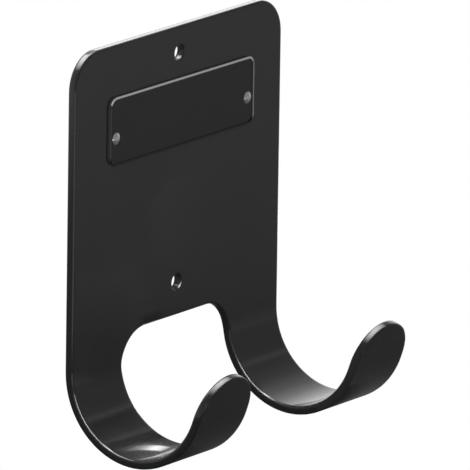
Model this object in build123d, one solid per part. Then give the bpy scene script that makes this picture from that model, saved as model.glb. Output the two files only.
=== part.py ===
from build123d import *
from math import isclose
import os

# Double hook wall bracket: a sheet with two straps bent forward into hooks, and a blank riveted nameplate.
# Millimetres, +X right, +Y into the wall, +Z up. Origin midway between the screw holes, on the wall face.

# Back plate
sheet_thickness = 3.5  # with its coat
plate_width = 140.5
plate_corner_radius = 15.2
front_edge_radius = 0.6  # edges rounded under the coat, on the front and inside the hooks
back_edge_chamfer = 0.3  # on the back and outside the hooks

# Hooks
strap_width = 33.3
gap_corner_radius = 15.9
bend_drop = 10.0  # top of the gap down to the start of the bend
bend_radius = 30.8  # on the inside of the sheet
bend_angle = 161.0  # 180 would point the tip straight up
tip_flat = 1.95  # straight run between the bend and the full-round tip

# Screw holes, one above the other on the centre line
screw_hole_diameter = 6.35
screw_spacing = 96.0
screw_top_margin = 11.1  # plate's top edge down to the upper hole
screw_bottom_margin = 13.9  # lower hole down to the gap between the hooks
screw_hole_chamfer = 0.2  # on the front face only

# Nameplate on the front face
nameplate_width = 98.0
nameplate_height = 28.4
nameplate_thickness = 0.9
nameplate_corner_radius = 4.0
nameplate_top_margin = 21.4  # top edge of the back plate down to the nameplate
nameplate_shift = 1.3  # to the right of the centre line
nameplate_bevel = 0.3
rim_width = 0.8
rim_height = 0.4  # the rim stands this far above the blank field

# Nameplate rivets
rivet_head_diameter = 5.0
rivet_head_height = 0.9
rivet_shank_diameter = 2.4
rivet_fit_clearance = 0.05  # between the shank and its holes, all round
rivet_end_margin = 4.2  # end of the nameplate to the rivet's centre
rivet_drop = 17.2  # top of the nameplate down to the rivets
rivet_back_gap = 0.3  # the shank stops this far short of the wall face

# Cutting tools run this far past what they cut
overcut = 2.0

# Heights and depths that follow
plate_top = screw_spacing / 2 + screw_top_margin
gap_top = -screw_spacing / 2 - screw_bottom_margin
bend_start = gap_top - bend_drop
hook_bottom = bend_start - bend_radius - sheet_thickness
hook_reach = 2 * (bend_radius + sheet_thickness) + tip_flat + strap_width  # no tip stands further out
gap_width = plate_width - 2 * strap_width
strap_center = (plate_width - strap_width) / 2
nameplate_top = plate_top - nameplate_top_margin
nameplate_center = Vector(nameplate_shift, -sheet_thickness, nameplate_top - nameplate_height / 2)
rivet_seat = sheet_thickness + nameplate_thickness
rivet_height = nameplate_top - rivet_drop
rivet_half_spacing = nameplate_width / 2 - rivet_end_margin
rivet_places = [Vector(nameplate_shift + side * rivet_half_spacing, 0, rivet_height) for side in (-1, 1)]


def fold_line(depth):
    # Side view of the folded sheet, in Y and Z, at one depth in front of the wall face
    down = Line((-depth, plate_top), (-depth, bend_start))
    bend = JernArc(down @ 1, down % 1, bend_radius + sheet_thickness - depth, -bend_angle)
    tip = Line(bend @ 1, bend @ 1 + (bend % 1) * (tip_flat + strap_width / 2))
    return down, bend, tip


def folded_sheet():
    # The whole width of the sheet, bent, before the gap and the tips are cut
    back = fold_line(0)
    front = fold_line(sheet_thickness)
    ends = [Line(back[0] @ 0, front[0] @ 0), Line(back[2] @ 1, front[2] @ 1)]
    section = make_face([*back, *front, *ends])
    return extrude(Plane.YZ * section, plate_width / 2, both=True)


def hook_gap():
    # Rounded corners in the plate and the start of the bend, then straight sides out to the tips
    depth = sheet_thickness + bend_radius / 2
    height = gap_top - hook_bottom + overcut
    outline = Pos(0, gap_top - height / 2) * Rectangle(gap_width, height)
    outline = fillet(outline.vertices().group_by(Axis.Y)[-1], gap_corner_radius)
    rounded = extrude(Plane.XZ.offset(-overcut) * outline, depth + overcut)
    straight = Pos(0, -depth, gap_top) * Box(
        gap_width, hook_reach, height, align=(Align.CENTER, Align.MAX, Align.MAX)
    )
    return rounded + straight


def tip_waste(center_x):
    # What is cut away round the half circle at the end of one strap
    tip = fold_line(sheet_thickness)[2]
    middle = tip @ 0 + (tip % 1) * tip_flat
    along = Vector(0, (tip % 1).X, (tip % 1).Y)
    plane = Plane((center_x, middle.X, middle.Y), x_dir=(1, 0, 0), z_dir=Vector(1, 0, 0).cross(along))
    corner = Rectangle(strap_width + 2 * overcut, strap_width / 2 + overcut, align=(Align.CENTER, Align.MIN))
    return extrude(plane * (corner - Circle(strap_width / 2)), sheet_thickness + overcut, both=True)


def through_hole(place, diameter):
    # Straight back through the sheet and whatever is riveted to it
    return Pos(place) * Rot(X=90) * Cylinder(diameter / 2, 2 * (rivet_seat + rim_height + overcut))


def top_edges(sheet):
    # The straight edges along the top of the plate, from the front to the back
    return sheet.edges().filter_by(Axis.X).group_by(Axis.Z)[-1].sort_by(Axis.Y)


def make_bracket():
    sheet = folded_sheet() - hook_gap()
    for center_x in (-strap_center, strap_center):
        sheet -= tip_waste(center_x)
    sheet = fillet(sheet.edges().filter_by(Axis.Y).group_by(Axis.Z)[-1], plate_corner_radius)

    # The outline is smooth all round, so work on a top edge carries on round the gap, straps and tips
    sheet = fillet(top_edges(sheet)[0], front_edge_radius)
    sheet = chamfer(top_edges(sheet)[-1], back_edge_chamfer)

    for height in (-screw_spacing / 2, screw_spacing / 2):
        sheet -= through_hole(Vector(0, 0, height), screw_hole_diameter)
    circles = sheet.edges().filter_by(GeomType.CIRCLE)
    rims = circles.filter_by(lambda circle: isclose(circle.radius, screw_hole_diameter / 2))
    sheet = chamfer(rims.group_by(Axis.Y)[0], screw_hole_chamfer)

    for place in rivet_places:
        sheet -= through_hole(place, rivet_shank_diameter + 2 * rivet_fit_clearance)
    return sheet


def make_nameplate():
    front = Plane(nameplate_center, x_dir=(1, 0, 0), z_dir=(0, -1, 0))
    outline = RectangleRounded(nameplate_width, nameplate_height, nameplate_corner_radius)
    field = offset(outline, -rim_width)
    plate = extrude(front * outline, nameplate_thickness + rim_height)
    plate = chamfer(plate.faces().sort_by(Axis.Y)[0].edges(), nameplate_bevel)
    plate -= extrude(front.offset(nameplate_thickness) * field, rim_height + overcut)
    for place in rivet_places:
        plate -= through_hole(place, rivet_shank_diameter + 2 * rivet_fit_clearance)
    return plate


def make_rivet(place):
    # A low dome on a plain shank, turned about the rivet's axis
    crown = (0, rivet_seat + rivet_head_height)
    brim = (rivet_head_diameter / 2, rivet_seat)
    dome = TangentArc(crown, brim, tangent=(1, 0))
    shank = Polyline(
        crown,
        (0, rivet_back_gap),
        (rivet_shank_diameter / 2, rivet_back_gap),
        (rivet_shank_diameter / 2, rivet_seat),
        brim,
    )
    turned = revolve(Plane.XY * make_face([dome, *shank.edges()]), Axis.Y)
    return Pos(place) * Rot(Z=180) * turned


nodes = {
    "bracket": make_bracket(),
    "nameplate": make_nameplate(),
    "nameplate_rivets": Compound(children=[make_rivet(place) for place in rivet_places]),
}

os.makedirs("parts", exist_ok=True)
for name, shape in nodes.items():
    export_step(shape, f"parts/{name}.step")
    print(name, "volume", round(shape.volume, 1), "mm3")
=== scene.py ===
import math
import bpy
from mathutils import Euler, Matrix, Vector


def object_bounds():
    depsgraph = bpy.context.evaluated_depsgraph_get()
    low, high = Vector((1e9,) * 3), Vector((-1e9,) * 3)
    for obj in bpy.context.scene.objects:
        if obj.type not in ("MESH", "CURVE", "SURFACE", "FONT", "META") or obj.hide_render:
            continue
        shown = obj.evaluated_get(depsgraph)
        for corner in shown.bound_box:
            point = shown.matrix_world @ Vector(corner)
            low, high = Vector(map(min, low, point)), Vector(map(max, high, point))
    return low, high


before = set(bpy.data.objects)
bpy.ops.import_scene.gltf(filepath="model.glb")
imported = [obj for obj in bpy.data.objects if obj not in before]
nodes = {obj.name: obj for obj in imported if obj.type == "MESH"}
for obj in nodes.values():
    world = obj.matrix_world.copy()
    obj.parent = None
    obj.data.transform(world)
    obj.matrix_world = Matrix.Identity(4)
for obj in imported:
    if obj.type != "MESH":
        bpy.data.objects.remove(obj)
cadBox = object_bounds()
scene = bpy.context.scene
scene.view_settings.view_transform = "Standard"
print("frame loaded:", ", ".join(sorted(nodes)))

millimetre = 0.001
noiseLow, noiseHigh = 0.3, 0.7  # most of a noise pattern lies between these
noiseMiddle = 0.5
mixA, mixB, mixResult = 6, 7, 2  # a Mix node's colour sockets
mixValueA, mixValueB, mixValueResult = 2, 3, 0  # and its plain value sockets


# Helpers for colours and shader nodes

def hexToLinear(code):
    channels = [int(code[i:i + 2], 16) / 255 for i in (1, 3, 5)]
    # the sRGB curve
    linear = [v / 12.92 if v <= 0.04045 else ((v + 0.055) / 1.055) ** 2.4 for v in channels]
    return (*linear, 1.0)


def addNode(tree, kind, inputs=None, **settings):
    node = tree.nodes.new(kind)
    for name, value in settings.items():
        setattr(node, name, value)
    for socket, value in (inputs or {}).items():
        if isinstance(value, bpy.types.NodeSocket):
            tree.links.new(value, node.inputs[socket])
        else:
            node.inputs[socket].default_value = value
    return node


def newMaterial(name):
    material = bpy.data.materials.new(name)
    material.use_nodes = True
    material.node_tree.nodes.clear()
    return material, material.node_tree


def perMillimetre(size):
    return 1 / (size * millimetre)  # noise scale that gives cells of this size


# Gloss black powder coat: baked polyester powder on sheet metal
# The eye sees a deep black under a clear layer that mirrors sharply, with the ripple of melted powder
# A faint haze from the pigment lies below it, and the coat draws round the sheet's edges

powderCoat = {
    "darkest": "#141414",
    "lightest": "#1a1a1b",
    "ior": 1.5,
    "clearWeight": 0.88,  # share of the sharp reflection
    "clearRough": 0.08,
    "hazeLevel": 0.045,
    "roughLow": 0.28,
    "roughHigh": 0.38,
    "peelSize": 1.7,  # mm between ripples
    "peelHeight": 0.004,  # mm
    "waveSize": 26.0,  # mm, the slow unevenness of rolled and bent sheet
    "waveHeight": 0.03,  # mm
    "patchSize": 18.0,  # mm, where the gloss comes and goes
    "edgeRadius": 1.5,  # mm, how far the melted powder rounds the edges
    "edgeSamples": 8,
}


def makePowderCoat(look):
    material, tree = newMaterial("gloss_black_powder_coat")
    place = addNode(tree, "ShaderNodeTexCoord").outputs["Object"]
    patch = addNode(tree, "ShaderNodeTexNoise", {
        "Vector": place, "Scale": perMillimetre(look["patchSize"]), "Detail": 4.0, "Roughness": 0.55})
    peel = addNode(tree, "ShaderNodeTexNoise", {
        "Vector": place, "Scale": perMillimetre(look["peelSize"]), "Detail": 1.0, "Roughness": 0.4})
    wave = addNode(tree, "ShaderNodeTexNoise", {
        "Vector": place, "Scale": perMillimetre(look["waveSize"]), "Detail": 0.0})
    colour = addNode(tree, "ShaderNodeMix", {
        "Factor": patch.outputs["Fac"],
        mixA: hexToLinear(look["darkest"]), mixB: hexToLinear(look["lightest"])}, data_type="RGBA")
    rough = addNode(tree, "ShaderNodeMapRange", {
        "Value": patch.outputs["Fac"], "From Min": noiseLow, "From Max": noiseHigh,
        "To Min": look["roughLow"], "To Max": look["roughHigh"]})
    edge = addNode(tree, "ShaderNodeBevel", {"Radius": look["edgeRadius"] * millimetre},
                   samples=look["edgeSamples"])
    slow = addNode(tree, "ShaderNodeBump", {
        "Height": wave.outputs["Fac"], "Strength": 1.0, "Distance": look["waveHeight"] * millimetre,
        "Normal": edge.outputs["Normal"]})
    fine = addNode(tree, "ShaderNodeBump", {
        "Height": peel.outputs["Fac"], "Strength": 1.0, "Distance": look["peelHeight"] * millimetre,
        "Normal": slow.outputs["Normal"]})
    shader = addNode(tree, "ShaderNodeBsdfPrincipled", {
        "Base Color": colour.outputs[mixResult], "Roughness": rough.outputs["Result"],
        "IOR": look["ior"], "Specular IOR Level": look["hazeLevel"], "Normal": fine.outputs["Normal"],
        "Coat Weight": look["clearWeight"], "Coat Roughness": look["clearRough"], "Coat IOR": look["ior"],
        "Coat Normal": fine.outputs["Normal"]})
    addNode(tree, "ShaderNodeOutputMaterial", {"Surface": shader.outputs["BSDF"]})
    return material


# Nameplate: satin black enamel on thin sheet, with a fine grit
# The eye sees a soft dark sheen. Bare bright metal is laid on the top and the right end of the rim only, as
# a painted highlight where light catches it

nameplateEnamel = {
    "darkest": "#0c0c0d",
    "lightest": "#141415",
    "ior": 1.45,
    "roughLow": 0.22,
    "roughHigh": 0.30,
    "gritSize": 0.9,  # mm, drawn coarser than the real grit so that it shows
    "gritHeight": 0.004,  # mm
    "patchSize": 9.0,  # mm
    # the painted highlight on the rim, drawn as bright bare metal
    "rimHighlightMetal": "#f0f0f1",
    "rimDepth": -4.45,  # mm, the rim lies in front of this
    "highlightFrom": 34.6,  # mm up, where the painted highlight on the rim starts, and where it is full
    "highlightTo": 37.3,
    "endHighlightFrom": 49.0,  # mm to the right, where the fainter painted highlight on the end of the rim starts and ends
    "endHighlightTo": 50.2,
    "endHighlightShare": 0.3,
    "lightenedSideWall": "#303031",  # painted light: the plate's side walls behind the rim, coloured lighter so they render about as bright as the bracket's face
    "lightenedSideWallDepth": -4.3,  # mm
}


def makeNameplateEnamel(look):
    material, tree = newMaterial("satin_black_enamel")
    place = addNode(tree, "ShaderNodeTexCoord").outputs["Object"]
    patch = addNode(tree, "ShaderNodeTexNoise", {
        "Vector": place, "Scale": perMillimetre(look["patchSize"]), "Detail": 3.0})
    grit = addNode(tree, "ShaderNodeTexNoise", {
        "Vector": place, "Scale": perMillimetre(look["gritSize"]), "Detail": 2.0})
    axes = addNode(tree, "ShaderNodeSeparateXYZ", {"Vector": place})
    rim = addNode(tree, "ShaderNodeMath", {
        0: axes.outputs["Y"], 1: look["rimDepth"] * millimetre}, operation="LESS_THAN")
    # Painted highlight: the rim turns to bright bare metal along its top, and partly at its right end,
    # where light catches it
    topHighlight = addNode(tree, "ShaderNodeMapRange", {
        "Value": axes.outputs["Z"],
        "From Min": look["highlightFrom"] * millimetre, "From Max": look["highlightTo"] * millimetre})
    endHighlight = addNode(tree, "ShaderNodeMapRange", {
        "Value": axes.outputs["X"], "To Max": look["endHighlightShare"],
        "From Min": look["endHighlightFrom"] * millimetre, "From Max": look["endHighlightTo"] * millimetre})
    highlightMask = addNode(tree, "ShaderNodeMath", {
        0: topHighlight.outputs["Result"], 1: endHighlight.outputs["Result"]}, operation="MAXIMUM")
    rimHighlight = addNode(tree, "ShaderNodeMath", {
        0: highlightMask.outputs["Value"], 1: rim.outputs["Value"]}, operation="MULTIPLY")
    # Painted light: the side walls behind the rim get a lighter grey, so they render about as bright as the
    # bracket's face
    sideWall = addNode(tree, "ShaderNodeMath", {
        0: axes.outputs["Y"], 1: look["lightenedSideWallDepth"] * millimetre}, operation="GREATER_THAN")
    enamel = addNode(tree, "ShaderNodeMix", {
        "Factor": patch.outputs["Fac"],
        mixA: hexToLinear(look["darkest"]), mixB: hexToLinear(look["lightest"])}, data_type="RGBA")
    withLightenedSides = addNode(tree, "ShaderNodeMix", {
        "Factor": sideWall.outputs["Value"],
        mixA: enamel.outputs[mixResult], mixB: hexToLinear(look["lightenedSideWall"])}, data_type="RGBA")
    colour = addNode(tree, "ShaderNodeMix", {
        "Factor": rimHighlight.outputs["Value"],
        mixA: withLightenedSides.outputs[mixResult], mixB: hexToLinear(look["rimHighlightMetal"])}, data_type="RGBA")
    rough = addNode(tree, "ShaderNodeMapRange", {
        "Value": patch.outputs["Fac"], "From Min": noiseLow, "From Max": noiseHigh,
        "To Min": look["roughLow"], "To Max": look["roughHigh"]})
    smoothed = addNode(tree, "ShaderNodeMix", {  # no grit under the painted highlight
        "Factor": highlightMask.outputs["Value"], mixValueA: grit.outputs["Fac"], mixValueB: noiseMiddle})
    bump = addNode(tree, "ShaderNodeBump", {
        "Height": smoothed.outputs[mixValueResult], "Strength": 1.0,
        "Distance": look["gritHeight"] * millimetre})
    shader = addNode(tree, "ShaderNodeBsdfPrincipled", {
        "Base Color": colour.outputs[mixResult], "Metallic": rimHighlight.outputs["Value"],
        "Roughness": rough.outputs["Result"], "IOR": look["ior"], "Normal": bump.outputs["Normal"]})
    addNode(tree, "ShaderNodeOutputMaterial", {"Surface": shader.outputs["BSDF"]})
    return material


# Rivets: cold-headed bright aluminium, tumbled, so softly dented with a silvery shine

rivetAluminium = {
    "dull": "#cdcfd1",
    "bright": "#f1f2f3",
    "roughLow": 0.12,
    "roughHigh": 0.24,
    "dentSize": 0.7,  # mm
    "dentHeight": 0.012,  # mm
}


def makeRivetAluminium(look):
    material, tree = newMaterial("tumbled_aluminium")
    place = addNode(tree, "ShaderNodeTexCoord").outputs["Object"]
    dent = addNode(tree, "ShaderNodeTexNoise", {
        "Vector": place, "Scale": perMillimetre(look["dentSize"]), "Detail": 2.0})
    colour = addNode(tree, "ShaderNodeMix", {
        "Factor": dent.outputs["Fac"],
        mixA: hexToLinear(look["dull"]), mixB: hexToLinear(look["bright"])}, data_type="RGBA")
    rough = addNode(tree, "ShaderNodeMapRange", {
        "Value": dent.outputs["Fac"], "From Min": noiseLow, "From Max": noiseHigh,
        "To Min": look["roughHigh"], "To Max": look["roughLow"]})
    bump = addNode(tree, "ShaderNodeBump", {
        "Height": dent.outputs["Fac"], "Strength": 1.0, "Distance": look["dentHeight"] * millimetre})
    shader = addNode(tree, "ShaderNodeBsdfPrincipled", {
        "Base Color": colour.outputs[mixResult], "Metallic": 1.0, "Roughness": rough.outputs["Result"],
        "Normal": bump.outputs["Normal"]})
    addNode(tree, "ShaderNodeOutputMaterial", {"Surface": shader.outputs["BSDF"]})
    return material


def dress(node, material):
    node.data.materials.clear()
    node.data.materials.append(material)


dress(nodes["bracket"], makePowderCoat(powderCoat))
dress(nodes["nameplate"], makeNameplateEnamel(nameplateEnamel))
dress(nodes["nameplate_rivets"], makeRivetAluminium(rivetAluminium))
print("finishes on", len(nodes), "nodes")


# Studio: a room that is white behind the part, dimmer in front and overhead, and a pale floor well below

room = {
    "brightSide": (0.33, 0.90, -0.30),
    # brightness by how far one looks toward the bright side, with a narrow lighter band on the dim side
    "steps": [(-0.285, 0.25), (-0.262, 0.52), (-0.243, 0.52), (-0.22, 0.27), (0.01, 0.40),
              (0.135, 0.58), (0.256, 0.66), (0.384, 0.88), (0.46, 1.0)],
    "floorColour": "#e6e6e3",
    "floorRoughLow": 0.75,
    "floorRoughHigh": 0.85,
    "floorDrop": 0.50,
    "floorBack": 0.55,  # out of the photograph's frame
    "floorFront": -5.0,
    "floorSide": 5.0,
    "floorGrain": 6.0,  # mm
}


def setStops(ramp, stops):
    elements = ramp.color_ramp.elements
    while len(elements) < len(stops):
        elements.new(0.5)  # its place is set below
    for element, (position, level) in zip(elements, stops):
        element.position = position
        element.color = (level, level, level, 1)


def makeRoom(look):
    world = bpy.data.worlds.new("studio_room")
    scene.world = world
    world.use_nodes = True
    tree = world.node_tree
    tree.nodes.clear()
    direction = addNode(tree, "ShaderNodeTexCoord").outputs["Generated"]
    toward = addNode(tree, "ShaderNodeVectorMath", {
        0: direction, 1: look["brightSide"]}, operation="DOT_PRODUCT")
    along = addNode(tree, "ShaderNodeMapRange", {
        "Value": toward.outputs["Value"], "From Min": -1.0, "From Max": 1.0})
    ramp = addNode(tree, "ShaderNodeValToRGB", {"Fac": along.outputs["Result"]})
    setStops(ramp, [((depth + 1) / 2, level) for depth, level in look["steps"]])  # a ramp runs from 0 to 1
    background = addNode(tree, "ShaderNodeBackground", {"Color": ramp.outputs["Color"], "Strength": 1.0})
    addNode(tree, "ShaderNodeOutputWorld", {"Surface": background.outputs["Background"]})


def addSheet(name, corners, material):
    mesh = bpy.data.meshes.new(name)
    mesh.from_pydata(corners, [], [tuple(range(len(corners)))])
    mesh.materials.append(material)
    sheet = bpy.data.objects.new(name, mesh)
    scene.collection.objects.link(sheet)
    return sheet


def makeFloor(look):
    material, tree = newMaterial("pale_studio_floor")
    place = addNode(tree, "ShaderNodeTexCoord").outputs["Object"]
    grain = addNode(tree, "ShaderNodeTexNoise", {
        "Vector": place, "Scale": perMillimetre(look["floorGrain"])})
    rough = addNode(tree, "ShaderNodeMapRange", {
        "Value": grain.outputs["Fac"], "To Min": look["floorRoughLow"], "To Max": look["floorRoughHigh"]})
    shader = addNode(tree, "ShaderNodeBsdfPrincipled", {
        "Base Color": hexToLinear(look["floorColour"]), "Roughness": rough.outputs["Result"]})
    addNode(tree, "ShaderNodeOutputMaterial", {"Surface": shader.outputs["BSDF"]})
    low, side = -look["floorDrop"], look["floorSide"]
    addSheet("floor", [(-side, look["floorFront"], low), (side, look["floorFront"], low),
                       (side, look["floorBack"], low), (-side, look["floorBack"], low)], material)


# Cards that only the part's gloss sees: dim ones that keep it black against the white room, and bright ones
# for its highlights. Levels run along each card, by metres from its start; white paper is 1

cards = {
    "under": {  # what the plate, straps and tips mirror below
        "start": (-0.81, 0.587, -0.16), "end": (2.43, -1.761, -0.16), "across": (0.587, 0.81, 0),
        "width": 0.8,
        "stops": [(0.0, 0.9), (0.17, 0.6), (0.34, 0.2), (0.53, 0.12), (0.8, 0.05), (1.0, 0.03),
                  (1.035, 0.035), (1.05, 0.09), (1.1, 0.11), (1.14, 0.13), (1.24, 0.13), (1.33, 0.19),
                  (1.46, 0.26), (1.66, 0.30), (1.85, 0.33), (4.0, 0.28)]},
    "overhead": {  # bright, for edges and tips that face up
        "start": (-0.75, 0.375, 1.0), "end": (0.95, 0.375, 1.0), "across": (0, 1, 0), "width": 0.85,
        "stops": [(0.0, 0.6), (0.15, 2.5), (0.36, 7.0), (0.65, 12.0), (0.92, 12.0), (1.2, 8.5),
                  (1.5, 4.0), (1.7, 1.5)]},
    "aboveRight": {
        "start": (0.30, -0.175, 0.175), "end": (0.30, 0.025, 0.175), "across": (0, 0, 1), "width": 0.13,
        "stops": [(0.0, 0.2), (0.025, 0.136), (0.093, 0.2), (0.156, 0.23), (0.178, 0.40), (0.2, 0.35)]},
    "besideHook": {  # lightens what the plate mirrors of the right hook
        "start": (0.033, -0.0615, -0.105), "end": (0.033, -0.0615, -0.062), "across": (0, 1, 0),
        "width": 0.033,
        "stops": [(0.0, 0.17), (0.015, 0.17), (0.028, 0.23), (0.043, 0.295)]},
    "besideTip": {  # the same for its tip
        "start": (0.033, -0.0615, -0.0578), "end": (0.033, -0.043, -0.0578), "across": (0, 0, 1),
        "width": 0.0084,
        "stops": [(0.0, 0.29), (0.0185, 0.29)]},
    "underTip": {  # keeps the right hook's underside dark
        "start": (0.045, -0.045, -0.114), "end": (0.085, -0.045, -0.114), "across": (0, 1, 0),
        "width": 0.04,
        "stops": [(0.0, 0.03), (0.02, 0.03), (0.032, 0.1), (0.04, 0.13)]},
    "backRight": {  # soft light in the right hook's bend
        "start": (1.2, 0.9, 0.80), "end": (1.2, 0.9, 0.03), "across": (-0.6, 0.8, 0), "width": 1.0,
        "stops": [(0.0, 0.9), (0.06, 0.95), (0.17, 1.15), (0.36, 1.33), (0.77, 1.4)]},
    "gapSlit": {  # bright streak in the left hook's bend
        "start": (-0.002, 0.0, -0.089), "end": (-0.002, 0.0, -0.061), "across": (-0.53, 0.848, 0),
        "width": 0.0045,
        "stops": [(0.0, 0.2), (0.004, 3.0), (0.008, 5.0), (0.012, 6.2), (0.0165, 3.8), (0.021, 1.8),
                  (0.028, 0.6)]},
    "behindGap": {
        "start": (-0.04, 0.03, -0.014), "end": (0.11, 0.03, -0.014), "across": (0, 0, 1), "width": 0.148,
        "stops": [(0.0, 0.2), (0.15, 0.2)]},
}


def makeCard(name, look):
    start, end = Vector(look["start"]), Vector(look["end"])
    run = end - start
    side = Vector(look["across"]).normalized() * look["width"] / 2
    material, tree = newMaterial("studio_card_" + name)
    place = addNode(tree, "ShaderNodeTexCoord").outputs["Object"]
    fromStart = addNode(tree, "ShaderNodeVectorMath", {0: place, 1: start}, operation="SUBTRACT")
    along = addNode(tree, "ShaderNodeVectorMath", {
        0: fromStart.outputs["Vector"], 1: run / run.length_squared}, operation="DOT_PRODUCT")
    ramp = addNode(tree, "ShaderNodeValToRGB", {"Fac": along.outputs["Value"]})
    setStops(ramp, [(metres / run.length, level) for metres, level in look["stops"]])
    glow = addNode(tree, "ShaderNodeEmission", {"Color": ramp.outputs["Color"], "Strength": 1.0})
    addNode(tree, "ShaderNodeOutputMaterial", {"Surface": glow.outputs["Emission"]})
    card = addSheet(name + "Card", [start - side, end - side, end + side, start + side], material)
    card.visible_camera = False
    card.visible_diffuse = False
    card.visible_shadow = False
    card.visible_transmission = False


makeRoom(room)
makeFloor(room)
for name, look in cards.items():
    makeCard(name, look)


# Softboxes, in metres; brightness counts white paper as 1
# Those for each hook are placed from the middle of its strap

strapWidth = 0.0333
strapMiddle = cadBox[1][0] - strapWidth / 2

softboxes = {
    "frontLeft": {"at": (-0.61, -0.52, 0.49), "aim": (-0.04, -0.02, -0.08), "along": (0.1, 0.68, 0.72),
                  "size": (0.8, 0.5), "brightness": 8.0, "gloss": False},
    "edge": {"at": (-0.0644, -0.042, -0.036), "aim": (-0.0314, 0.016, -0.1105),
             "along": (0.25, 0.845, 0.474), "size": (0.1, 0.035), "brightness": 10.0,
             "diffuse": False, "spread": 104, "eachHook": True},
    "edgeLow": {"at": (-0.0504, -0.004, -0.020), "aim": (-0.0162, -0.0128, -0.1005),
                "along": (0, 1, 0), "size": (0.06, 0.04), "brightness": 2.6,
                "diffuse": False, "spread": 66, "eachHook": True},
    "topEdge": {"at": (0.0783, 0.055, 0.084), "aim": (0.0, -0.0017, 0.0591),
                "along": (0.622, -0.716, -0.315), "size": (0.09, 0.05), "brightness": 0.13,
                "diffuse": False, "spread": 60},
    "gapGlow": {"at": (-0.012, -0.006, -0.069), "aim": (-0.012, -0.1, -0.069), "along": (1, 0, 0),
                "size": (0.016, 0.012), "brightness": 0.35, "diffuse": False},
    "lowLeft": {"at": (-0.75, -0.95, -0.30), "aim": (-0.07, 0.0, 0.0), "along": (0.81, -0.587, 0),
                "size": (0.8, 0.4), "brightness": 1.2},
    "tipFill": {"at": (0.167, 0.0225, -0.051), "aim": (0.172, -0.132, 0.206),
                "along": (0.793, 0.528, 0.306), "size": (0.08, 0.024), "brightness": 3.6},
}


def addSoftbox(name, look, middle=0.0):
    lamp = bpy.data.lights.new(name, "AREA")
    lamp.shape = "RECTANGLE"
    lamp.size, lamp.size_y = look["size"]
    lamp.spread = math.radians(look.get("spread", 180))  # degrees, narrower makes a beam
    lamp.energy = look["brightness"] * math.pi * lamp.size * lamp.size_y
    box = bpy.data.objects.new(name, lamp)
    backward = (Vector(look["at"]) - Vector(look["aim"])).normalized()
    across = backward.cross(Vector(look["along"])).normalized()
    turn = Matrix((across.cross(backward), across, backward)).transposed()
    box.location = Vector(look["at"]) + Vector((middle, 0, 0))
    box.rotation_euler = turn.to_euler()
    box.visible_camera = False
    box.visible_diffuse = look.get("diffuse", True)
    box.visible_glossy = look.get("gloss", True)
    scene.collection.objects.link(box)


for name, look in softboxes.items():
    if look.get("eachHook"):
        addSoftbox(name + "Left", look, -strapMiddle)
        addSoftbox(name + "Right", look, strapMiddle)
    else:
        addSoftbox(name, look)
print("room, floor,", len(cards), "cards and", len(softboxes), "kinds of softbox")


# Camera at the photograph's angle: a long lens from the left, a little above

photoCamera = {
    "azimuth": 54.046,  # degrees to the left of straight on
    "elevation": 14.549,
    "roll": 0.851,
    "distance": 5.0657,
    "focalPixels": 12483.36,
    "imagePixels": 470,
    "sensor": 36.0,  # mm
    "right": 0.025669,  # how far the middle of the picture lies from the origin, across and up the picture
    "up": -0.027771,
    "shift": (0.0, -0.000325, -0.0002),
}


def addCamera(look):
    lens = bpy.data.cameras.new("photoCamera")
    lens.sensor_width = look["sensor"]
    lens.lens = look["sensor"] * look["focalPixels"] / look["imagePixels"]
    turn = Euler((math.radians(90 - look["elevation"]), 0, math.radians(-look["azimuth"]))).to_matrix()
    turn = turn @ Matrix.Rotation(math.radians(look["roll"]), 3, "Z")
    camera = bpy.data.objects.new("photoCamera", lens)
    camera.location = turn @ Vector((look["right"], look["up"], look["distance"])) + Vector(look["shift"])
    camera.rotation_euler = turn.to_euler()
    scene.collection.objects.link(camera)
    scene.camera = camera


addCamera(photoCamera)
print("camera set")
